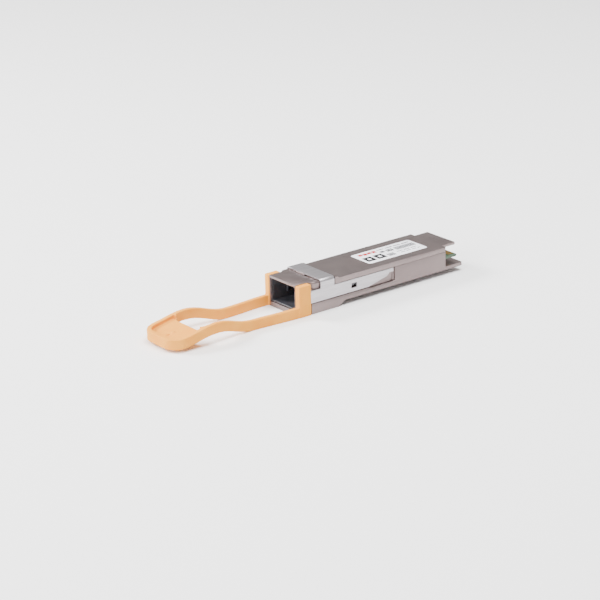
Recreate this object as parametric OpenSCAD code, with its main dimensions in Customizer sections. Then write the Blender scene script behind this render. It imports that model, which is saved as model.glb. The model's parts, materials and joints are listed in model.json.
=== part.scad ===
// Pluggable optical transceiver module with a multi-fibre port and a rubber pull tab.
// Built with +Y towards the host connector, +X across and +Z up to the label side.
// Sub-parts are drawn from the nose's front face and the flat underside of the cage part,
// and place() then moves them so that the origin is the centre of the whole box's base.

/* [Housing] */
// Width of the housing
body_w = 18.35; // [18.2:0.05:18.5]
// Height of the part that enters the cage
body_h = 8.5; // [8.4:0.05:8.6]
// Length from the nose to the end of the lower lip
body_len = 72.4; // [72:0.1:73]
// How far the nose section stands below the cage part
step_z = 1.8; // [1.6:0.1:1.8]
// Height of the nose deck over the cage part's top
deck_rise = 0.6; // [0.5:0.05:0.7]
// Width of the narrow front of the nose
nose_w = 13.9; // [13.8:0.05:14]
// Length of the narrow front of the nose, beside the blocks of the tab
nose_len = 5; // [4.8:0.1:5.2]
// Parting height between the lower shell and the cover
split_z = 6.6; // [6.5:0.05:6.7]

/* [Latch] */
// Thickness of the slider's sheet
sheet_t = 0.38; // [0.3:0.01:0.38]
// Travel of the slider from rest to released
travel = 2.5; // [2:0.1:2.5]
// Front edge of the collar that crosses the deck
collar_y = 9.1; // [9:0.1:9.2]
// Length of the collar
collar_len = 5.9; // [5.5:0.1:5.9]
// Rear tip of the side arms
arm_end_y = 40.7; // [40:0.1:41]

/* [Pull tab] */
// Reach of the tab in front of the nose
tab_reach = 51; // [48:1:56]
// Width over the handle
handle_w = 18.7; // [18.4:0.1:18.9]
// Width over the waist of the arms
waist_w = 16.4; // [16.2:0.1:17]
// Width of one arm and of the handle's rim, seen from above
arm_w = 1.6; // [1.5:0.1:1.8]
// Height of the arms and of the handle's rim
arm_h = 3.5; // [3:0.1:3.8]
// Depth of the handle's dished floor below its rim
dish_depth = 1.4; // [0.8:0.1:1.8]
// Rise of the arch where the arms meet the handle
arch_rise = 3.2; // [2:0.1:3.4]
// Length of the handle behind its front edge
handle_len = 12.2; // [11.6:0.1:14]

/* [Fibre port] */
// Width of the port opening
port_w = 12.5; // [12.4:0.05:12.6]
// Height of the port opening
port_h = 7.5; // [7.4:0.05:7.5]
// Spacing of the guide pins
pin_pitch = 4.6; // [4.6:0.1:4.6]
// Diameter of a guide pin
pin_d = 0.7; // [0.69:0.005:0.7]

/* [Card] */
// Width of the card edge
card_w = 16.42; // [16.3:0.02:16.5]
// Thickness of the card
card_t = 1; // [0.9:0.05:1.05]
// Contacts on each side of the card edge
pads = 19; // [19:1:19]
// Spacing of the contacts
pad_pitch = 0.8; // [0.8:0.1:0.8]

/* [Hidden] */
$fn = 48;

// Overshoot that keeps cutting faces off the faces that they cut
eps = 0.05;
half_w = body_w / 2;
deck_z = body_h + deck_rise;
nose_y = (tab_reach - body_len) / 2;
wall_end_y = body_len - 8;
cover_end_y = body_len - 2;
deck_end_y = 16.3;
step_y = 16.9;
step_end_y = 19.3;
ramp_len = 0.9;
deck_r = 0.8;
lip_t = 1.2;

// Side recess for the slider's arms, and the inner faces of the shell
recess_x = half_w - 0.48;
deck_half_w = recess_x - 0.15;
inner_x = 7.95;
rear_inner_x = 8.35;
floor_z = 1;
roof_z = 7.5;
recess_z = 1.9;
recess_end_y = 41.4;

// Slider
collar_gap = 0.12;
collar_z = deck_z + collar_gap + sheet_t;
collar_r = 1.1;
plate_z = 2.15;
arm_top_z = split_z - 0.12;
block_x = 7.15;
block_w = 2.3;
block_top_z = deck_z - 0.1;
block_len = nose_len - 0.15;

// Return springs and the lugs that press on them
spring_x = 7.85;
spring_y = 18;
spring_z = 4.3;
spring_r = 0.65;
spring_short_len = 4.1;
spring_len = spring_short_len + travel;
lug_t = 0.35;
pocket_h = 1.7;

// Fibre port
port_z = 0.35;
port_mid_z = port_z + port_h / 2;
port_wall = 0.4;
port_y = 0.6;
ferrule_y = 8.6;
ferrule_w = 6.4;
ferrule_h = 2.5;
ferrule_len = 8;
pin_free = 2;
hook_y = 6;

// Card and what stands on it
card_z = 3.6;
card_top = card_z + card_t;
card_front_y = 23.2;
card_mid_y = 26.7;
card_wide_y = 58;
card_end_y = 70.3;
card_front_x = 6.2;
card_mid_x = 7.7;
pad_w = 0.54;
pad_len = 2.6;
pad_t = 0.04;
pin_one_x = -(pads - 1) / 2 * pad_pitch;

// Cover screws: countersunk heads in the underside
screw_r = 0.74;
screw_head_r = 1.35;
screw_front = [5, 21.6];
screw_rear = [6.2, 55.5];
boss_r = 1.3;
boss_split_z = 5.1;

label_w = 10.7;
label_y = 33.5;
label_len = 26.2;
label_t = 0.08;
label_pocket = 0.1;

shell_grey = [0.56, 0.53, 0.52];
sheet_grey = [0.76, 0.76, 0.77];
tab_beige = [0.95, 0.79, 0.6];

module place() translate([0, nose_y, step_z]) children();

// A box between two corners
module slab(low, high) translate(low) cube(high - low);

// The same shape on both sides
module both() {
    children();
    mirror([1, 0, 0]) children();
}

// A side outline drawn as [y, z] points and given a thickness across X
module side_plate(points, x_low, x_high)
    translate([x_low, 0, 0])
        rotate([90, 0, 90]) linear_extrude(x_high - x_low) polygon(points);

module screw_places() both() for (p = [screw_front, screw_rear]) translate([p[0], p[1], 0]) children();

module rounded_rect(w, l, r) {
    square([w - 2 * r, l], center = true);
    square([w, l - 2 * r], center = true);
    for (x = [-1, 1], y = [-1, 1]) translate([x * (w / 2 - r), y * (l / 2 - r)]) circle(r);
}

// An end view with straight sides and rounded top corners
module fold_outline(w, base, top, r) {
    translate([-w / 2, base]) square([w, top - r - base]);
    translate([-w / 2 + r, base]) square([w - 2 * r, top - base]);
    for (x = [-1, 1]) translate([x * (w / 2 - r), top - r]) circle(r);
}

// ---- Housing ----

// Underside and walls of the lower shell, before it is hollowed out
module shell_block() {
    // cage part
    slab([-half_w, 16, 0], [half_w, wall_end_y, split_z]);
    // lower lip that runs out under the card edge
    translate([0, wall_end_y - 2, 0]) linear_extrude(lip_t)
        translate([0, (body_len - wall_end_y + 2) / 2])
            rounded_rect(body_w, body_len - wall_end_y + 2, 1);
    // nose section, which stands lower and ramps up to the cage part
    side_plate([[nose_len + 0.2, -step_z], [step_y, -step_z], [step_end_y, 0], [step_end_y, recess_z],
        [nose_len + 0.2, recess_z]], -half_w, half_w);
    slab([-recess_x, nose_len + 0.2, -step_z], [recess_x, step_y, split_z]);
    // narrow front beside the blocks of the tab
    slab([-nose_w / 2, 0, -step_z], [nose_w / 2, nose_len + 1, split_z]);
}

module bottom_shell() place() color(shell_grey) difference() {
    union() {
        difference() {
            shell_block();
            // channel for the receptacle
            slab([-port_w / 2 - port_wall - 0.02, -eps, port_z - port_wall - 0.02],
                [port_w / 2 + port_wall + 0.02, 14.6, 9]);
            // space behind the receptacle, between the spring pockets
            slab([-6.5, 14.5, floor_z], [6.5, card_mid_y, 9]);
            // card bay
            slab([-inner_x, card_mid_y - eps, floor_z], [inner_x, card_wide_y, 9]);
            slab([-rear_inner_x, card_wide_y - eps, lip_t],
                [rear_inner_x, wall_end_y + eps, 9]);
            // seats for the slider's plates and arms
            both() slab([recess_x, nose_len - eps, recess_z], [9.5, recess_end_y, split_z + eps]);
        }
        // rails under the card
        both() slab([7.1, 27.2, floor_z - eps], [inner_x + eps, card_wide_y - 0.5, card_z]);
        screw_places() translate([0, 0, floor_z - eps])
            cylinder(r = boss_r, h = boss_split_z - floor_z + eps);
    }
    both() {
        // spring pockets
        slab([spring_x - spring_r - 0.1, spring_y - 0.05, spring_z - pocket_h / 2],
            [half_w + 1, spring_y + spring_len + lug_t + 0.3, spring_z + pocket_h / 2]);
        // latch pockets that taper in under the arms
        side_plate([[29.6, recess_z], [31, recess_z - 0.3], [40, recess_z - 0.3],
            [40.6, recess_z], [40.6, 4.8], [36.5, 4.8]], recess_x - 0.25, half_w + 1);
    }
    screw_places() {
        translate([0, 0, -eps]) cylinder(r = screw_r + 0.1, h = 7);
        translate([0, 0, -eps]) cylinder(r1 = screw_head_r + 0.1, r2 = screw_r + 0.1, h = 0.85);
    }
}

// Plan of the nose deck: narrow in front, then flared out to the collar
module deck_plan() polygon([
    [-nose_w / 2, 0], [nose_w / 2, 0], [nose_w / 2, nose_len + 0.1],
    [deck_half_w, nose_len + 1.8], [deck_half_w, deck_end_y], [-deck_half_w, deck_end_y],
    [-deck_half_w, nose_len + 1.8], [-nose_w / 2, nose_len + 0.1]]);

module cover_plate() difference() {
    union() {
        // deck over the port, rounded along its sides to clear the folds of the collar
        intersection() {
            translate([0, 0, split_z]) linear_extrude(deck_z - split_z) deck_plan();
            translate([0, deck_end_y, 0]) rotate([90, 0, 0]) linear_extrude(deck_end_y)
                fold_outline(2 * deck_half_w, split_z, deck_z, deck_r);
        }
        // step down from the deck to the cage part
        side_plate([[15.3, split_z + 0.9], [15.3, deck_z], [deck_end_y, deck_z],
            [deck_end_y + ramp_len, body_h], [20, body_h], [20, split_z + 0.9]], -half_w, half_w);
        slab([-half_w, 15.3, split_z], [half_w, 20, roof_z + eps]);
        // cage part with its side walls, and the tongue over the card edge
        slab([-half_w, 19.9, split_z], [half_w, wall_end_y, body_h]);
        slab([-7.2, wall_end_y - eps, roof_z], [7.2, cover_end_y, body_h]);
    }
    // hollow underside
    slab([-inner_x, 21, split_z - eps], [inner_x, wall_end_y - 4, roof_z]);
    slab([-rear_inner_x, wall_end_y - 4.1, split_z - eps], [rear_inner_x, wall_end_y + eps, roof_z]);
    slab([-6.7, 15, split_z - eps], [6.7, 21.1, roof_z]);
    // room for the receptacle
    slab([-6.7, -eps, split_z - eps], [6.7, 15.1, port_z + port_h + port_wall + 0.02]);
    // seam groove in front of the collar, bridged by three ribs
    difference() {
        slab([-9, collar_y - 0.75, deck_z - 0.45], [9, collar_y + 0.05, deck_z + eps]);
        for (x = [-4.6, 0.6, 5.6])
            translate([x, collar_y - 0.4, deck_z]) cube([0.7, 1, 2], center = true);
    }
    // shallow pocket that keeps the label clear of the cage's heat sink
    translate([0, label_y + label_len / 2, body_h - label_pocket]) linear_extrude(1)
        rounded_rect(label_w + 0.2, label_len + 0.2, 1.1);
}

// Threaded bosses and card posts are cast with the cover
module cover_bosses() difference() {
    union() {
        screw_places() translate([0, 0, boss_split_z])
            cylinder(r = boss_r, h = roof_z - boss_split_z + 0.2);
        both() slab([6.6, 46, card_top], [7.4, 49, roof_z + 0.2]);
    }
    screw_places() translate([0, 0, boss_split_z - eps]) cylinder(r = screw_r + 0.01, h = 2);
}

module top_cover() place() color(shell_grey) {
    cover_plate();
    cover_bosses();
}

module cover_screws() place() color([0.8, 0.8, 0.8]) difference() {
    screw_places() {
        cylinder(r1 = screw_head_r, r2 = screw_r, h = 0.8);
        translate([0, 0, 0.4]) cylinder(r = screw_r, h = 6.2);
    }
    // hexalobular recess, drawn as a six-sided one
    screw_places() translate([0, 0, -eps]) cylinder(r = 0.55, h = 0.45, $fn = 6);
}

module label() place() color([0.96, 0.96, 0.98])
    translate([0, label_y + label_len / 2, body_h - label_pocket]) linear_extrude(label_t)
        rounded_rect(label_w, label_len, 1);

// ---- Fibre port ----

module mpo_receptacle() place() color([0.05, 0.05, 0.06]) {
    outer_x = port_w / 2 + port_wall;
    low_z = port_z - port_wall;
    high_z = port_z + port_h + port_wall;
    difference() {
        slab([-outer_x, port_y, low_z], [outer_x, 14.4, high_z]);
        slab([-port_w / 2, port_y - eps, port_z], [port_w / 2, 12.4, port_z + port_h]);
        // keyway in the roof
        slab([-1.3, port_y - eps, high_z - 0.5], [1.3, 12.4, high_z + eps]);
        // seat of the ferrule
        slab([-ferrule_w / 2 - 0.03, 12, port_mid_z - ferrule_h / 2 - 0.03],
            [ferrule_w / 2 + 0.03, 15, port_mid_z + ferrule_h / 2 + 0.03]);
        // lead-in at the mouth
        both() side_plate([[0, 2.4], [1.3, 3], [1.3, 5.2], [0, 5.8]], port_w / 2 - 0.1, outer_x - 0.15);
    }
    // spring hooks that grip the plug
    both() {
        slab([5.05, hook_y, port_mid_z - 1.7], [5.6, 12.5, port_mid_z + 1.7]);
        slab([4.7, hook_y, port_mid_z - 1.7], [5.1, hook_y + 0.6, port_mid_z + 1.7]);
    }
}

module ferrule_retainer() place() color([0.15, 0.15, 0.17]) difference() {
    slab([-5.2, 14.5, port_mid_z - 2.9], [5.2, 16.2, port_mid_z + 2.9]);
    slab([-ferrule_w / 2 - 0.03, 14, port_mid_z - ferrule_h / 2 - 0.03],
        [ferrule_w / 2 + 0.03, 17, port_mid_z + ferrule_h / 2 + 0.03]);
}

module pin_places() both() translate([pin_pitch / 2, 0, port_mid_z]) rotate([-90, 0, 0]) children();

module mt_ferrule() place() color([0.2, 0.2, 0.22]) difference() {
    union() {
        slab([-ferrule_w / 2, ferrule_y, port_mid_z - ferrule_h / 2],
            [ferrule_w / 2, ferrule_y + ferrule_len, port_mid_z + ferrule_h / 2]);
        slab([-3.6, 16.3, port_mid_z - 1.6], [3.6, ferrule_y + ferrule_len, port_mid_z + 1.6]);
    }
    pin_places() translate([0, 0, 8]) cylinder(d = pin_d + 0.02, h = 10);
    // slot of the ribbon
    slab([-1.6, 13, port_mid_z - 0.25], [1.6, 17, port_mid_z + 0.25]);
}

module guide_pins() place() color([0.85, 0.85, 0.86]) pin_places() {
    tip_y = ferrule_y - pin_free;
    translate([0, 0, tip_y + 0.25]) cylinder(d = pin_d, h = 11.35);
    translate([0, 0, tip_y]) cylinder(d1 = pin_d * 0.5, d2 = pin_d, h = 0.25);
}

module pin_clamp() place() color([0.7, 0.7, 0.72]) difference() {
    slab([-3.6, 16.65, port_mid_z - 1.6], [3.6, 18, port_mid_z + 1.6]);
    pin_places() translate([0, 0, 16]) cylinder(d = pin_d + 0.02, h = 3);
    slab([-1.7, 16, port_mid_z - 0.4], [1.7, 19, port_mid_z + 0.4]);
}

// The ribbon leaves the ferrule level and climbs in an S on to the card
ribbon_t = 0.3;
ribbon_rise = 1.55;
ribbon_s = 18.2;
ribbon_e = 23;
function climb(t) = (1 - cos(180 * t)) / 2;
ribbon_line = concat([[13.2, 0]],
    [for (i = [0:12]) [ribbon_s + (ribbon_e - ribbon_s) * i / 12, ribbon_rise * climb(i / 12)]],
    [[29.2, ribbon_rise]]);

module fibre_ribbon() place() color([0.35, 0.75, 0.75])
    translate([0, 0, port_mid_z - ribbon_t / 2])
        side_plate(concat(ribbon_line,
            [for (i = [len(ribbon_line) - 1:-1:0]) ribbon_line[i] + [0, ribbon_t]]), -1.5, 1.5);

module shield_gasket() place() color([0.3, 0.3, 0.32]) difference() {
    slab([-6.4, 18.7, floor_z], [6.4, 20.2, roof_z]);
    slab([-2.2, 18, port_mid_z - 1], [2.2, 21, 6.4]);
}

// ---- Card ----

module circuit_card() place() color([0.05, 0.3, 0.15]) difference() {
    union() {
        slab([-card_front_x, card_front_y, card_z], [card_front_x, card_mid_y + 0.3, card_top]);
        slab([-card_mid_x, card_mid_y + 0.2, card_z], [card_mid_x, card_wide_y + 0.4, card_top]);
        side_plate([[card_wide_y + 0.3, card_z], [card_end_y - 0.5, card_z],
            [card_end_y, card_z + 0.3], [card_end_y, card_top - 0.3], [card_end_y - 0.5, card_top],
            [card_wide_y + 0.3, card_top]], -card_w / 2, card_w / 2);
    }
    both() translate([screw_rear[0], screw_rear[1], card_z - eps]) {
        cylinder(r = boss_r + 0.2, h = 2);
        slab([0, -boss_r - 0.2, 0], [4, boss_r + 0.2, 2]);
    }
}

// One row of gold contacts; the first and last of each group stand longer
module contacts(z) color([0.85, 0.65, 0.25])
    for (i = [0:pads - 1])
        translate([pin_one_x + i * pad_pitch - pad_w / 2,
            card_end_y - 0.7 - pad_len - (i % 3 == 0 ? 0 : 0.25), z])
            cube([pad_w, pad_len, pad_t]);

module contacts_top() place() contacts(card_top);
module contacts_bottom() place() contacts(card_z - pad_t);

module lens_block() place() color([0.85, 0.8, 0.55]) difference() {
    side_plate([[29.2, card_top], [29.2, 6.4], [32.2, 6.4], [33.4, 5.4], [33.4, card_top]], -2.8, 2.8);
    slab([-2.4, 30, card_top - eps], [2.4, 32.8, 4.95]);
}

module chip(x, y, w, l, h) translate([x - w / 2, y - l / 2, card_top]) cube([w, l, h]);
module under_chip(x, y, w, l, h) translate([x - w / 2, y - l / 2, card_z - h]) cube([w, l, h]);

module laser_array() place() color([0.5, 0.45, 0.3]) chip(-1.2, 31.4, 1.1, 0.35, 0.2);
module photodiode_array() place() color([0.3, 0.3, 0.45]) chip(1.2, 31.4, 1.1, 0.35, 0.2);
module laser_driver_chip() place() color([0.4, 0.4, 0.43]) chip(-1.5, 35.3, 2.4, 2, 0.45);
module receiver_chip() place() color([0.4, 0.4, 0.43]) chip(1.5, 35.3, 2.4, 2, 0.45);
module transmit_retimer() place() color([0.12, 0.12, 0.13]) chip(-3.4, 40.5, 5, 5, 0.9);
module receive_retimer() place() color([0.12, 0.12, 0.13]) chip(3.4, 40.5, 5, 5, 0.9);
module microcontroller() place() color([0.12, 0.12, 0.13]) under_chip(0, 41, 5, 5, 0.85);

module inductors() place() color([0.25, 0.22, 0.2])
    for (x = [-4.4, 0, 4.4]) chip(x, 52, 2.4, 2, 1.1);
module capacitors() place() color([0.65, 0.5, 0.35])
    for (x = [-5.5:2.2:5.5], y = [45, 57.5]) chip(x, y, 0.5, 1, 0.5);
module resistors() place() color([0.1, 0.1, 0.1])
    for (x = [-5:2:5], y = [30, 48.5]) under_chip(x, y, 0.5, 1, 0.35);

module thermal_pad() place() color([0.55, 0.65, 0.85])
    slab([-6, 38, card_top + 0.9], [6, 43, roof_z]);

// ---- Latch ----

module latch_spring() color([0.75, 0.75, 0.77])
    translate([spring_x, spring_y, spring_z]) rotate([-90, 0, 0]) difference() {
        cylinder(r = spring_r, h = spring_len);
        translate([0, 0, -eps]) cylinder(r = spring_r - 0.2, h = spring_len + 1);
    }
module spring_right() place() latch_spring();
module spring_left() place() mirror([1, 0, 0]) latch_spring();

module latch_slider() place() color(sheet_grey) {
    // collar, folded over the deck
    translate([0, collar_y + collar_len, 0]) rotate([90, 0, 0]) linear_extrude(collar_len)
        difference() {
            fold_outline(body_w, plate_z, collar_z, collar_r);
            fold_outline(body_w - 2 * sheet_t, plate_z - 1, collar_z - sheet_t,
                collar_r - sheet_t);
        }
    both() difference() {
        union() {
            // side plate in front of the collar, with the tongue that the tab is moulded on
            side_plate([[nose_len, plate_z], [collar_y + eps, plate_z],
                [collar_y + eps, arm_top_z], [nose_len, arm_top_z]], half_w - sheet_t, half_w);
            side_plate([[1.4, 2.6], [nose_len + eps, 2.6], [nose_len + eps, 6], [1.4, 6]],
                half_w - sheet_t, half_w);
            // arm, tapered over the latch pocket and ending in a narrow tip
            side_plate([[collar_y + collar_len - eps, plate_z], [29.8, plate_z], [37.8, 4.1],
                [38.6, 4.7], [38.9, 5.2], [arm_end_y, 5.2], [arm_end_y, arm_top_z],
                [collar_y + collar_len - eps, arm_top_z]], half_w - sheet_t, half_w);
            // lug bent in from the window to press on the spring
            slab([spring_x - spring_r, spring_y + spring_len + 0.02, spring_z - 0.65],
                [half_w - eps, spring_y + spring_len + 0.02 + lug_t, spring_z + 0.65]);
        }
        // window that the lug was cut from, and a hole in the tongue for the rubber to key in
        slab([half_w - 1, spring_y + spring_len - 2.3, spring_z - 0.85],
            [half_w + 1, spring_y + spring_len, spring_z + 0.85]);
        translate([half_w - 1, 3, 4.3]) rotate([0, 90, 0]) cylinder(r = 0.6, h = 2);
    }
}

// ---- Pull tab ----

// Half the tab's width at a place in front of the nose, waisted between blocks and handle
waist_y = -19;
wide_y = -38;
function half_tab(y) =
    y > waist_y ? waist_w / 2 + (block_x + block_w - 0.2 - waist_w / 2) * climb(1 - y / waist_y)
    : y > wide_y ? waist_w / 2 + (handle_w - waist_w) / 2 * climb((waist_y - y) / (waist_y - wide_y))
    : handle_w / 2;

// Underside of the arms and handle, which arch up where they meet
arch_start_y = -18;
arch_top_y = -33.5;
arch_end_y = -50;
tip_rise = 0.9;
function tab_low(y) =
    -step_z + (y > arch_start_y ? 0
    : y > arch_top_y ? arch_rise * climb((arch_start_y - y) / (arch_start_y - arch_top_y))
    : y > arch_end_y ? tip_rise + (arch_rise - tip_rise) * climb((y - arch_end_y) / (arch_top_y - arch_end_y))
    : tip_rise);

corner_r = 5.5;
window_y = handle_len - tab_reach;
steps = 40;

// Plan outline with rounded front corners, drawn in by a margin
module tab_plan(margin) {
    edge_y = corner_r - tab_reach;
    right = [for (i = [0:steps]) let(y = (edge_y) * i / steps) [half_tab(y) - margin, y]];
    arc = [for (a = [5:5:90]) [handle_w / 2 - corner_r + (corner_r - margin) * cos(a),
        edge_y - (corner_r - margin) * sin(a)]];
    line = concat(right, arc);
    polygon(concat(line, [for (i = [len(line) - 1:-1:0]) [-line[i][0], line[i][1]]]));
}

// Side view of a strip that follows the arch, from one height over it to another
module tab_strip(low, high) {
    ys = [for (i = [0:52]) 1 - (tab_reach + 2) * i / 52];
    side_plate(concat([for (y = ys) [y, tab_low(y) + low]],
        [for (i = [len(ys) - 1:-1:0]) [ys[i], tab_low(ys[i]) + high]]), -12, 12);
}

// Opening between the arms, with filleted corners at the handle
module window_plan() {
    r = 2.2;
    intersection() {
        tab_plan(arm_w);
        union() {
            translate([-12, window_y + r]) square([24, -window_y]);
            translate([-half_tab(window_y) + arm_w + r, window_y])
                square([2 * (half_tab(window_y) - arm_w - r), r + 1]);
            for (x = [-1, 1]) translate([x * (half_tab(window_y) - arm_w - r), window_y + r]) circle(r);
        }
    }
}

module pull_tab() place() color(tab_beige) {
    difference() {
        intersection() {
            translate([0, 0, -3]) linear_extrude(12) tab_plan(0);
            tab_strip(0, arm_h);
        }
        translate([0, 0, -4]) linear_extrude(14) window_plan();
        // dished floor inside the handle's rim
        intersection() {
            translate([0, 0, -3]) linear_extrude(12) intersection() {
                tab_plan(arm_w);
                translate([-12, -tab_reach]) square([24, handle_len + 0.2]);
            }
            tab_strip(arm_h - dish_depth, arm_h + 3);
        }
        // gate mark
        translate([0, 4.7 - tab_reach, 1.1]) cylinder(r = 0.6, h = 4);
    }
    // blocks moulded round the slider's tongues
    both() difference() {
        slab([block_x, -0.1, -step_z], [block_x + block_w, block_len, block_top_z]);
        side_plate([[1.4, 2.6], [6, 2.6], [6, 6], [1.4, 6]], half_w - sheet_t, half_w);
    }
}

bottom_shell();
top_cover();
mpo_receptacle();
ferrule_retainer();
mt_ferrule();
guide_pins();
pin_clamp();
fibre_ribbon();
lens_block();
laser_array();
photodiode_array();
laser_driver_chip();
receiver_chip();
transmit_retimer();
receive_retimer();
microcontroller();
inductors();
capacitors();
resistors();
circuit_card();
contacts_top();
contacts_bottom();
thermal_pad();
shield_gasket();
cover_screws();
label();
spring_left();
spring_right();
latch_slider();
pull_tab();
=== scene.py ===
import json
import math

import bpy
from mathutils import Matrix, Quaternion, Vector


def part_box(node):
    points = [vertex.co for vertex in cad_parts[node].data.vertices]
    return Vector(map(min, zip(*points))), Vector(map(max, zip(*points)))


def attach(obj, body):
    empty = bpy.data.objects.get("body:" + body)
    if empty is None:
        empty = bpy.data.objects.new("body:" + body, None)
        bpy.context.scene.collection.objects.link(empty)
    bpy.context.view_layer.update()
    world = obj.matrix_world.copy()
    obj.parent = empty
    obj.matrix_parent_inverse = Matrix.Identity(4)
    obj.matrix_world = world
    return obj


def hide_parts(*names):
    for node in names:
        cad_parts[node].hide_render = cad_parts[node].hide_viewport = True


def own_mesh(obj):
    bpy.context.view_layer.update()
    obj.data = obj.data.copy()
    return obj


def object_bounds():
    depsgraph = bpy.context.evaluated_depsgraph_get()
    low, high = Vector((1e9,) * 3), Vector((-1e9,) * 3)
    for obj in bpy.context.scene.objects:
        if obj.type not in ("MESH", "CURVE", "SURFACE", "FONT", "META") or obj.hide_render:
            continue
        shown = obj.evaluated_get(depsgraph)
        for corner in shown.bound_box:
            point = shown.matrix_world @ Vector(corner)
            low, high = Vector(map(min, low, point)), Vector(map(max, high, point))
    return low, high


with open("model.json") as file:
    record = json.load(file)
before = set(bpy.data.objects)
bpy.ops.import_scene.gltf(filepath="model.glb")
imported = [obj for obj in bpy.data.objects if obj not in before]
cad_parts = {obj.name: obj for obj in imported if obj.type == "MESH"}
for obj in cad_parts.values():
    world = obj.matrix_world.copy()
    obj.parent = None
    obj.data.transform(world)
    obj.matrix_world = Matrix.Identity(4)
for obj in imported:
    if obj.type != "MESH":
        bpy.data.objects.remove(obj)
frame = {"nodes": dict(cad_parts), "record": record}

cad_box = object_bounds()

# ---- Housing ----
# The lower shell and the cover are zinc die castings, nickel plated and lightly blasted.
# The cover closes the shell from above, and countersunk screws hold it from below.
MM = 0.001
nose_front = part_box("bottom_shell")[0].y
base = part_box("cover_screws")[0].z


def at(x, y, z):
    """A point in millimetres: across, back from the nose, and up from the cage part's underside."""
    return Vector((x * MM, nose_front + y * MM, base + z * MM))


def srgb(code):
    """A #RRGGBB colour as the linear values that shaders take."""
    parts = [int(code[i : i + 2], 16) / 255 for i in (1, 3, 5)]
    return [p / 12.92 if p <= 0.04045 else ((p + 0.055) / 1.055) ** 2.4 for p in parts] + [1]


def add(tree, kind, inputs=None, **settings):
    """Adds a shader node, sets it up and links or fills its inputs."""
    made = tree.nodes.new(kind)
    for name, value in settings.items():
        setattr(made, name, value)
    for name, value in (inputs or {}).items():
        if isinstance(value, bpy.types.NodeSocket):
            tree.links.new(value, made.inputs[name])
        else:
            made.inputs[name].default_value = value
    return made


def finish_named(name, **sockets):
    """A new material, with its tree and its shader, whose constant sockets are set here."""
    material = bpy.data.materials.new(name)
    material.use_nodes = True
    tree = material.node_tree
    shader = tree.nodes["Principled BSDF"]
    for socket, value in sockets.items():
        shader.inputs[socket.replace("_", " ")].default_value = value
    return material, tree, shader


def ramp(tree, value, low, high):
    """A colour ramp between two stops, each a place from 0 to 1 and a hex colour."""
    made = add(tree, "ShaderNodeValToRGB", {"Fac": value})
    for element, (place, code) in zip(made.color_ramp.elements, (low, high)):
        element.position, element.color = place, srgb(code)
    return made.outputs["Color"]


def grain(tree, shader, spacing, strength, depth, stretch=(1, 1, 1)):
    """A fine bumpy surface with its grains a given number of millimetres apart."""
    where = add(tree, "ShaderNodeTexCoord").outputs["Object"]
    mapped = add(tree, "ShaderNodeMapping", {"Vector": where, "Scale": stretch}).outputs["Vector"]
    noise = add(
        tree,
        "ShaderNodeTexNoise",
        {"Vector": mapped, "Scale": 1 / (spacing * MM), "Detail": 3.0, "Roughness": 0.6},
    )
    bump = add(
        tree,
        "ShaderNodeBump",
        {"Height": noise.outputs["Fac"], "Strength": strength, "Distance": depth * MM},
    )
    tree.links.new(bump.outputs["Normal"], shader.inputs["Normal"])
    return where


def near(tree, a, b, width):
    """1 where two values lie within a width in millimetres of each other, else 0."""
    made = add(tree, "ShaderNodeMath", {0: a, 1: b, 2: width * MM}, operation="COMPARE")
    return made.outputs["Value"]


def nickel_plated_casting(name, pins, z, painted_groove_shade_xs=()):
    """Satin nickel over a blasted casting: warm grey, faintly uneven, with a fine sparkle.

    Ejector pins leave rings at the given places on the face at height z, and dark lines of painted
    shade along the nose's deck, at the given distances across, stand in for shallow scribed
    grooves."""
    ring_radius, line_width, deck_end = 0.9, 0.05, 7
    material, tree, shader = finish_named(name, Metallic=1.0)
    # the blasting's dents lie about 0.1 mm apart, and are drawn twice as coarse, to show
    where = grain(tree, shader, spacing=0.22, strength=0.35, depth=0.02)
    # the tone drifts over 7 mm, from how the plating took
    drift = add(tree, "ShaderNodeTexNoise", {"Vector": where, "Scale": 140.0, "Detail": 3.0})
    colour = ramp(tree, drift.outputs["Fac"], (0.3, "#847776"), (0.7, "#8C7F7D"))
    split = add(tree, "ShaderNodeSeparateXYZ", {"Vector": where})
    marks = []
    for x, y in pins:
        middle = add(tree, "ShaderNodeVectorMath", {0: where, 1: at(x, y, z)}, operation="DISTANCE")
        marks.append(near(tree, middle.outputs["Value"], ring_radius * MM, line_width))
    # painted shade: dark lines along the deck stand in for the shade inside shallow scribed grooves
    for x in painted_groove_shade_xs:
        line = near(tree, split.outputs["X"], x * MM, line_width)
        ahead = {0: split.outputs["Y"], 1: at(0, deck_end, 0).y}
        front = add(tree, "ShaderNodeMath", ahead, operation="LESS_THAN").outputs["Value"]
        on_deck = add(tree, "ShaderNodeMath", {0: line, 1: front}, operation="MULTIPLY")
        marks.append(on_deck.outputs["Value"])
    # the pin rings and the painted groove shade lines both darken the base colour to one dark grey
    for mark in marks:
        blend = {0: mark, 6: colour, 7: srgb("#5E5654")}
        colour = add(tree, "ShaderNodeMix", blend, data_type="RGBA").outputs[2]
    tree.links.new(colour, shader.inputs["Base Color"])
    spread = {"From Min": 0.3, "From Max": 0.7, "To Min": 0.42, "To Max": 0.47}
    rough = add(tree, "ShaderNodeMapRange", {"Value": drift.outputs["Fac"], **spread})
    tree.links.new(rough.outputs["Result"], shader.inputs["Roughness"])
    return material


def only(piece):
    """Makes one object the only selected and active one."""
    bpy.ops.object.select_all(action="DESELECT")
    piece.select_set(True)
    bpy.context.view_layer.objects.active = piece


def apply_all(piece):
    """Applies every modifier of a piece, in order."""
    only(piece)
    for modifier in list(piece.modifiers):
        bpy.ops.object.modifier_apply(modifier=modifier.name)


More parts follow.
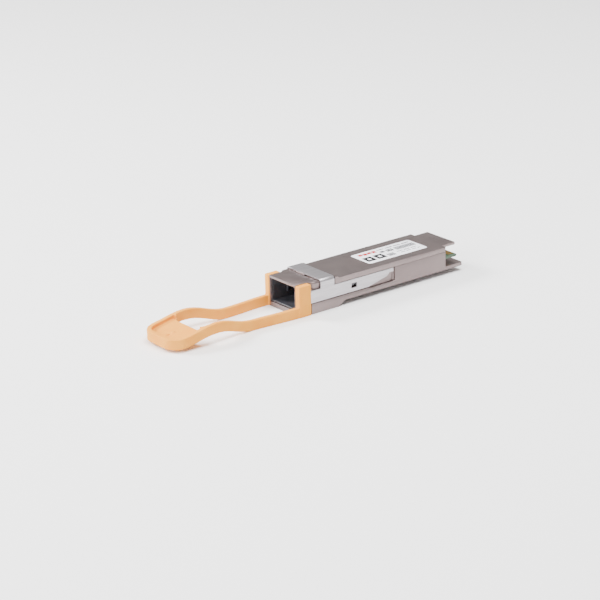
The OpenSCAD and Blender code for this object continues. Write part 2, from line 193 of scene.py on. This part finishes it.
def copy_of(node, name):
    """A copy of a CAD node with its loose triangles merged into whole faces."""
    source = frame["nodes"][node]
    piece = bpy.data.objects.new(name, source.data.copy())
    bpy.context.scene.collection.objects.link(piece)
    piece.data.materials.clear()
    only(piece)
    bpy.ops.mesh.customdata_custom_splitnormals_clear()
    bpy.ops.object.mode_set(mode="EDIT")
    bpy.ops.mesh.select_all(action="SELECT")
    bpy.ops.mesh.remove_doubles(threshold=0.0005 * MM)
    bpy.ops.mesh.dissolve_limited(angle_limit=math.radians(0.6))
    bpy.ops.object.mode_set(mode="OBJECT")
    return piece


def mark_outer_edges(mesh):
    """Gives every sharp edge that points outwards a full bevel weight, and the others none."""
    sharp_angle = math.radians(32)
    faces_at = {}
    for face in mesh.polygons:
        for key in face.edge_keys:
            faces_at.setdefault(key, []).append(face)
    weights = mesh.attributes.new("bevel_weight_edge", "FLOAT", "EDGE")
    for edge in mesh.edges:
        faces = faces_at.get(edge.key, [])
        if len(faces) != 2:
            continue
        one, other = faces
        sharp = one.normal.angle(other.normal, 0) > sharp_angle
        corner = mesh.vertices[edge.vertices[0]].co
        outward = (other.center - corner).dot(one.normal) < 0
        weights.data[edge.index].value = 1.0 if sharp and outward else 0.0


def round_edges(piece, width, segments=2):
    """Rounds a piece's sharp outer edges by a width in millimetres."""
    mark_outer_edges(piece.data)
    bevel = piece.modifiers.new("rounded edges", "BEVEL")
    bevel.width, bevel.segments = width * MM, segments
    bevel.limit_method = "WEIGHT"
    bevel.use_clamp_overlap = False
    apply_all(piece)
    bpy.ops.object.shade_smooth_by_angle(angle=math.radians(35))


def dress(piece, material, body, slot_name, *nodes):
    """Gives a finished piece its material and body, and hides what it stands for; the slot name is
    not used.
    """
    piece.data.materials.clear()
    piece.data.materials.append(material)
    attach(piece, body)
    if nodes:
        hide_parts(*nodes)
    return piece


cast_edge = 0.12
lower_casting = copy_of("bottom_shell", "lower_casting")
round_edges(lower_casting, cast_edge)
lower_pins = [(-6.5, 30), (6.5, 30), (-6.5, 42), (6.5, 42), (0, 62), (0, 48), (0, 33), (0, 8)]
lower_metal = nickel_plated_casting("satin_nickel_shell", lower_pins, z=0)
dress(lower_casting, lower_metal, "module", "cast_shell", "bottom_shell")

cover_casting = copy_of("top_cover", "cover_casting")
round_edges(cover_casting, cast_edge)
# the cover's deck gets two lines of painted shade, standing in for shallow scribed grooves
cover_metal = nickel_plated_casting("satin_nickel_cover", [(-1.3, 67.2)], z=8.5, painted_groove_shade_xs=(-4.7, 5))
dress(cover_casting, cover_metal, "module", "cast_shell", "top_cover")

# ---- Latch slider ----
# One piece of stamped stainless sheet, folded over the deck, with lugs bent in for the springs.
# Its arms run back along the sides and lift the cage's latch fingers when the tab is pulled.


def stamped_stainless():
    """Bright rolled sheet: paler than the castings, with very fine rolling lines along the part."""
    material, tree, shader = finish_named("rolled_stainless_sheet", Metallic=1.0)
    # rolling lines are finer than this: drawn 0.12 mm apart in height and 0.4 mm in tone, to show
    where = grain(tree, shader, spacing=0.12, strength=0.2, depth=0.01, stretch=(1, 0.06, 1))
    drawn = add(tree, "ShaderNodeMapping", {"Vector": where, "Scale": (1, 0.05, 1)})
    streaks = {"Vector": drawn.outputs["Vector"], "Scale": 2500.0, "Detail": 3.0}
    noise = add(tree, "ShaderNodeTexNoise", streaks)
    colour = ramp(tree, noise.outputs["Fac"], (0.35, "#B1ADB0"), (0.65, "#BFBBBE"))
    tree.links.new(colour, shader.inputs["Base Color"])
    shader.inputs["Roughness"].default_value = 0.42
    return material


sheet_metal = stamped_stainless()
slider_sheet = copy_of("latch_slider", "slider_sheet")
sheared_edge = 0.06
round_edges(slider_sheet, sheared_edge)
dress(slider_sheet, sheet_metal, "release", "spring_steel_sheet", "latch_slider")

# ---- Return springs ----
# Two coils of stainless wire, one in a pocket at each side, push the slider home.
# They shorten towards their front ends as the slider is pulled.


def coil_spring(name, node):
    """A wire coil that fills a spring's CAD cylinder, wound by the Screw modifier."""
    low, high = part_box(node)
    wire_radius, turns, steps_a_turn = 0.13 * MM, 9, 24
    middle = (low + high) / 2
    radius = (high.x - low.x) / 2 - wire_radius
    bpy.ops.object.select_all(action="DESELECT")
    bpy.ops.mesh.primitive_circle_add(
        vertices=10,
        radius=wire_radius,
        fill_type="NOTHING",
        location=(middle.x + radius, low.y + wire_radius, middle.z),
    )
    piece = bpy.context.object
    piece.name = name
    bpy.ops.object.transform_apply(location=True, rotation=True, scale=True)
    # the object's origin goes on the coil's axis, for the modifier to wind round
    piece.data.transform(Matrix.Translation((-middle.x, 0, -middle.z)))
    piece.location = (middle.x, 0, middle.z)
    screw = piece.modifiers.new("winding", "SCREW")
    screw.axis, screw.angle = "Y", 2 * math.pi * turns
    screw.screw_offset = high.y - low.y - 2 * wire_radius
    screw.steps = screw.render_steps = steps_a_turn * turns
    screw.use_normal_calculate = True
    apply_all(piece)
    bpy.ops.object.transform_apply(location=True, rotation=True, scale=True)
    bpy.ops.object.mode_set(mode="EDIT")
    bpy.ops.mesh.select_all(action="DESELECT")
    bpy.ops.mesh.select_non_manifold()
    bpy.ops.mesh.fill_holes(sides=0)
    bpy.ops.mesh.select_all(action="SELECT")
    bpy.ops.mesh.remove_doubles(threshold=0.001 * MM)
    bpy.ops.mesh.normals_make_consistent(inside=False)
    bpy.ops.object.mode_set(mode="OBJECT")
    bpy.ops.object.shade_smooth_by_angle(angle=math.radians(40))
    return piece


def plain_metal(name, low, high, roughness):
    """Bright machined or drawn metal with a fine grain and a small change of tone."""
    material, tree, shader = finish_named(name, Metallic=1.0, Roughness=roughness)
    where = grain(tree, shader, spacing=0.08, strength=0.15, depth=0.005)
    noise = add(tree, "ShaderNodeTexNoise", {"Vector": where, "Scale": 900.0, "Detail": 3.0})
    tree.links.new(
        ramp(tree, noise.outputs["Fac"], (0.35, low), (0.65, high)), shader.inputs["Base Color"]
    )
    return material


# drawn stainless wire: bright, with a soft highlight along each turn
spring_wire = plain_metal("drawn_spring_wire", "#A8A8AC", "#C2C2C6", 0.3)
for side in ("left", "right"):
    spring = coil_spring("coil_" + side, "spring_" + side)
    dress(spring, spring_wire, "module", "clamp_steel", "spring_" + side)
    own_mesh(spring)

# ---- Pull tab ----
# A soft beige elastomer moulded round the slider's tongues: two blocks, two arms and a handle
# with a dished floor. Its edges are soft and its skin is matt from a blasted mould.


def beige_elastomer():
    """Matt thermoplastic elastomer with a little light in its edges and a finely blasted skin."""
    material, tree, shader = finish_named(
        "beige_elastomer",
        Subsurface_Weight=0.05,
        Subsurface_Scale=0.0006,
        Roughness=0.65,
        Specular_IOR_Level=0.25,
    )
    where = grain(tree, shader, spacing=0.3, strength=0.25, depth=0.03)
    cloud = add(tree, "ShaderNodeTexNoise", {"Vector": where, "Scale": 160.0, "Detail": 4.0})
    colour = ramp(tree, cloud.outputs["Fac"], (0.3, "#E2922C"), (0.7, "#E79E39"))
    tree.links.new(colour, shader.inputs["Base Color"])
    shader.inputs["Subsurface Radius"].default_value = (1.0, 0.6, 0.35)
    return material


tab_rubber = beige_elastomer()
soft_tab = copy_of("pull_tab", "soft_tab")
# the stub of the mould's gate stands a little proud of the handle's floor, beside its dimple
bpy.ops.object.select_all(action="DESELECT")
bpy.ops.mesh.primitive_uv_sphere_add(
    segments=24, ring_count=12, radius=1.1 * MM, location=at(0, -44.4, 1.05)
)
gate_stub = bpy.context.object
only(soft_tab)
gate_stub.select_set(True)
bpy.ops.object.join()
# one skin over arms, blocks and handle, smoothed so that its edges turn soft
remesh = soft_tab.modifiers.new("one skin", "REMESH")
remesh.mode, remesh.voxel_size, remesh.use_smooth_shade = "VOXEL", 0.17 * MM, True
smooth = soft_tab.modifiers.new("soft edges", "SMOOTH")
smooth.factor, smooth.iterations = 0.5, 5
apply_all(soft_tab)
dress(soft_tab, tab_rubber, "release", "tab_rubber", "pull_tab")

# ---- Fibre port ----
# A black glass-filled moulding fills the nose: a keyed mouth, two spring hooks for the plug,
# and in its depth the ferrule with its guide pins.


def black_moulding():
    """Black glass-filled nylon: a low sheen and a fine spark-eroded skin."""
    material, tree, shader = finish_named("black_filled_nylon", Roughness=0.35)
    where = grain(tree, shader, spacing=0.15, strength=0.3, depth=0.02)
    noise = add(tree, "ShaderNodeTexNoise", {"Vector": where, "Scale": 500.0, "Detail": 3.0})
    colour = ramp(tree, noise.outputs["Fac"], (0.3, "#2C2C31"), (0.7, "#3D3D43"))
    tree.links.new(colour, shader.inputs["Base Color"])
    return material


black_nylon = black_moulding()
port_moulding = copy_of("mpo_receptacle", "port_moulding")
moulded_edge = 0.2
round_edges(port_moulding, moulded_edge)
dress(port_moulding, black_nylon, "module", "port_plastic", "mpo_receptacle")

# ---- Label ----
# White printed polyester film, stuck to the cover's flat top. Its print is plain bars and
# frames in place of words and marks.


def coated_film():
    """White polyester film with a satin top coat and a faint orange-peel."""
    material, tree, shader = finish_named(
        "white_label_film", Roughness=0.4, Coat_Weight=0.3, Coat_Roughness=0.25
    )
    where = grain(tree, shader, spacing=0.5, strength=0.1, depth=0.01)
    noise = add(tree, "ShaderNodeTexNoise", {"Vector": where, "Scale": 200.0})
    colour = ramp(tree, noise.outputs["Fac"], (0.3, "#F1F1F6"), (0.7, "#F8F8FC"))
    tree.links.new(colour, shader.inputs["Base Color"])
    return material


label_low, label_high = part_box("label")
label_middle = (label_low + label_high) / 2
ink_height = 0.012 * MM
film_top = label_high.z - 0.02 * MM
corner, film_edge = 1 * MM, 0.02
bpy.ops.object.select_all(action="DESELECT")
bpy.ops.mesh.primitive_plane_add(size=1, location=(label_middle.x, label_middle.y, label_low.z))
label_sheet = bpy.context.object
label_sheet.name = "label_sheet"
bpy.ops.object.mode_set(mode="EDIT")
bpy.ops.transform.resize(value=(label_high.x - label_low.x, label_high.y - label_low.y, 1))
bpy.ops.mesh.select_all(action="SELECT")
bpy.ops.mesh.bevel(offset=corner, segments=6, affect="VERTICES")
bpy.ops.mesh.select_all(action="SELECT")
bpy.ops.mesh.extrude_region_move(TRANSFORM_OT_translate={"value": (0, 0, film_top - label_low.z)})
bpy.ops.mesh.select_all(action="SELECT")
bpy.ops.mesh.normals_make_consistent(inside=False)
bpy.ops.object.mode_set(mode="OBJECT")
bpy.ops.object.transform_apply(location=True, rotation=True, scale=True)
round_edges(label_sheet, film_edge)
dress(label_sheet, coated_film(), "module", "label_film", "label")


def ink(name, code):
    """Thermal-transfer ink: a little patchy, with less gloss than the film."""
    material, tree, shader = finish_named(name, Roughness=0.5)
    where = grain(tree, shader, spacing=0.2, strength=0.1, depth=0.005)
    noise = add(tree, "ShaderNodeTexNoise", {"Vector": where, "Scale": 3000.0, "Detail": 2.0})
    thinned = {0: noise.outputs["Fac"], 6: srgb(code), 7: srgb("#707078")}
    faded = add(tree, "ShaderNodeMix", thinned, data_type="RGBA", blend_type="SOFT_LIGHT")
    tree.links.new(faded.outputs[2], shader.inputs["Base Color"])
    return material


def printed(name, marks, material):
    """Patches of ink on the label, each from its two corners in millimetres across and along."""
    bpy.ops.object.select_all(action="DESELECT")
    for i, (x0, y0, x1, y1) in enumerate(marks):
        middle = at((x0 + x1) / 2, (y0 + y1) / 2, 0)
        middle.z = film_top + 0.001 * MM
        size = (abs(x1 - x0) * MM, abs(y1 - y0) * MM, 1)
        bpy.ops.mesh.primitive_plane_add(size=1, location=middle)
        bpy.context.object.scale = size
        bpy.ops.object.transform_apply(location=True, rotation=True, scale=True)
        patch = bpy.context.object
        if i == 0:
            first = patch
        else:
            only(first)
            patch.select_set(True)
            bpy.ops.object.join()
    first.name = name
    only(first)
    bpy.ops.object.mode_set(mode="EDIT")
    bpy.ops.mesh.select_all(action="SELECT")
    bpy.ops.mesh.extrude_region_move(TRANSFORM_OT_translate={"value": (0, 0, ink_height)})
    bpy.ops.mesh.select_all(action="SELECT")
    bpy.ops.mesh.normals_make_consistent(inside=False)
    bpy.ops.object.mode_set(mode="OBJECT")
    dress(first, material, "module", "label_film")
    return first


def frame_marks(x0, y0, x1, y1, thick):
    """The four sides of an open rectangle."""
    return [
        (x0, y0, x1, y0 + thick),
        (x0, y1 - thick, x1, y1),
        (x0, y0 + thick, x0 + thick, y1 - thick),
        (x1 - thick, y0 + thick, x1, y1 - thick),
    ]


# two bold frames in place of marks, and two short rows of thick bars
dark_marks = frame_marks(-0.4, 34.6, 3.6, 38.4, 1.3) + frame_marks(-0.4, 39.2, 3.6, 43.0, 1.3)
dark_marks += [(-2.2, 46.3 + 0.75 * i, -0.1, 46.8 + 0.75 * i + 0.1 * (i % 2)) for i in range(4)]
dark_marks += [(1.4, 44.0 + 0.62 * i, 3.8, 44.42 + 0.62 * i) for i in range(5)]
printed("label_ink_dark", dark_marks, ink("dark_label_ink", "#0E0E12"))

# a block, a long row of thin bars, and three rows of dashes in place of lines of words
grey_marks = [(-2.0, 43.7, -0.6, 45.5)]
grey_marks += [
    (-2.3, 50.1 + 0.36 * i, 0.3, 50.1 + 0.36 * i + 0.2 + 0.05 * ((i * i) % 3)) for i in range(24)
]
grey_marks += [(-3.95, 44.0 + 0.62 * i, -3.3, 44.5 + 0.62 * i) for i in range(24) if i % 6 != 5]
grey_marks += [(1.4, 48.8 + 0.62 * i, 1.95, 49.25 + 0.62 * i) for i in range(15) if i % 5 != 4]
grey_marks += [(2.9, 49.4 + 0.62 * i, 3.4, 49.85 + 0.62 * i) for i in range(14) if i % 4 != 3]
printed("label_ink_grey", grey_marks, ink("grey_label_ink", "#33333A"))

# four red blocks in place of a name
red_marks = [(-4.0, 35.6 + 1.95 * i, -2.5 + 0.3 * (i % 2), 37.25 + 1.95 * i) for i in range(4)]
printed("label_ink_red", red_marks, ink("red_label_ink", "#B8000E"))

# ---- Parts that keep their CAD shape ----
# The card, its contacts and chips, and the pieces hidden inside only need their real finish.


def moulded(name, low, high, roughness, spacing=0.15, **sockets):
    """A plastic, ceramic or foam with a fine skin and a small change of tone."""
    material, tree, shader = finish_named(name, Roughness=roughness, **sockets)
    where = grain(tree, shader, spacing, strength=0.25, depth=0.02)
    noise = add(tree, "ShaderNodeTexNoise", {"Vector": where, "Scale": 600.0, "Detail": 3.0})
    tree.links.new(
        ramp(tree, noise.outputs["Fac"], (0.3, low), (0.7, high)), shader.inputs["Base Color"]
    )
    return material


kept_finishes = {
    # bright zinc plate with a soft highlight
    "screw_steel": plain_metal("zinc_plated_screw", "#A3A3A6", "#BDBDC0", 0.35),
    # ground steel, close to a mirror
    "pin_steel": plain_metal("ground_pin_steel", "#B8B8BC", "#D0D0D4", 0.18),
    "clamp_steel": spring_wire,
    # hard gold over nickel: deep yellow, with a sharp gleam
    "gold_plate": plain_metal("hard_gold_plate", "#D9A441", "#E8BC62", 0.25),
    # dark green solder mask under a thin gloss
    "card_laminate": moulded("green_solder_mask", "#1B3B22", "#274E2C", 0.35, Coat_Weight=0.3),
    "port_plastic": black_nylon,
    # moulded filled polymer, dark grey and smooth
    "ferrule_plastic": moulded("ferrule_polymer", "#1E1E22", "#2C2C31", 0.3),
    # coated fibres side by side, smooth aqua
    "ribbon_coating": moulded("aqua_ribbon_coating", "#4FB9B4", "#63C7C2", 0.3),
    # optical polymer, amber and very glossy
    "lens_polymer": moulded("amber_optical_polymer", "#C79A4A", "#D8AE62", 0.12, IOR=1.66),
    # bare silicon, a bluish grey mirror
    "chip_die": moulded("bare_die_silicon", "#4B4D57", "#5E606B", 0.18, Metallic=0.4),
    # filled epoxy, matt black
    "chip_package": moulded("black_mould_compound", "#141416", "#202024", 0.55),
    # fired ceramic, tan and slightly dull
    "capacitor_ceramic": moulded("tan_ceramic", "#9C7B57", "#B08E68", 0.45),
    # printed glass over ceramic, black with a low sheen
    "resistor_body": moulded("black_resistor_print", "#101012", "#1C1C20", 0.4),
    # pressed and fired ferrite, dull dark grey
    "ferrite": moulded("grey_ferrite", "#3A3735", "#4A4745", 0.7),
    # soft filled silicone, chalky blue
    "gap_filler": moulded("blue_gap_filler", "#7C93BE", "#8FA5CC", 0.8),
    # metallised fabric on foam, coarse dark grey
    "gasket_foam": moulded("conductive_foam", "#3E3E42", "#55555A", 0.85, spacing=0.3),
}
slot_of = {row["node"]: row["material_slot"] for row in frame["record"]["subparts"]}
for name, node in frame["nodes"].items():
    if slot_of[name] in kept_finishes:
        node.data.materials.clear()
        node.data.materials.append(kept_finishes[slot_of[name]])

# ---- Studio ----
# A plain pale floor that the part rests on, in a softly lit room with three softboxes: one at
# the left, one in front and one overhead. The camera has a long lens and stands well off.
bpy.ops.object.select_all(action="DESELECT")
bpy.ops.mesh.primitive_plane_add(size=4, location=(0, 0, cad_box[0].z))
floor = bpy.context.object
floor.name = "floor"
# matt white paint: no gloss, so that only soft shadows show on it
floor_paint, floor_tree, floor_shader = finish_named("pale_floor_paint", Roughness=0.7)
floor_shader.inputs["Base Color"].default_value = srgb("#FFFFFF")
floor.data.materials.append(floor_paint)

world = bpy.data.worlds.new("soft white room")
bpy.context.scene.world = world
world.use_nodes = True
room = world.node_tree
# the room is dim overhead and brighter near the floor, so flat tops look darker than sides
direction = add(room, "ShaderNodeTexCoord").outputs["Generated"]
height = add(room, "ShaderNodeSeparateXYZ", {"Vector": direction})
glow = ramp(room, height.outputs["Z"], (0.0, "#E8E8E8"), (0.5, "#A9A7A6"))
room.links.new(glow, room.nodes["Background"].inputs["Color"])
room.nodes["Background"].inputs["Strength"].default_value = 1.0


def soft_light(name, place, size, power):
    """A square softbox aimed at the object, with its size in metres and its power in watts."""
    bpy.ops.object.light_add(type="AREA", location=place)
    light = bpy.context.object
    light.name = name
    light.data.shape, light.data.size, light.data.energy = "SQUARE", size, power
    light.rotation_euler = (Vector((0, 0, 0)) - Vector(place)).to_track_quat("-Z", "Y").to_euler()
    return light


soft_light("key_softbox", (-0.6, -0.4, 0.5), 0.3, 14.0)
soft_light("front_softbox", (0.05, -0.8, 0.35), 0.4, 8.0)
soft_light("ceiling_softbox", (0.1, 0.1, 0.8), 0.6, 16.0)

# three quarters of a metre off, 52 degrees round from the nose and 20 degrees up
bpy.ops.object.camera_add(location=at(566.4, -431.5, 266.2))
camera = bpy.context.object
camera.data.lens = 136.8
camera.data.clip_start, camera.data.clip_end = 0.01, 10
aim = (at(0, 7.4, 0.3) - camera.location).to_track_quat("-Z", "Y")
roll = Quaternion((0, 0, 1), math.radians(-1.2))
camera.rotation_euler = (aim @ roll).to_euler()
bpy.context.scene.camera = camera
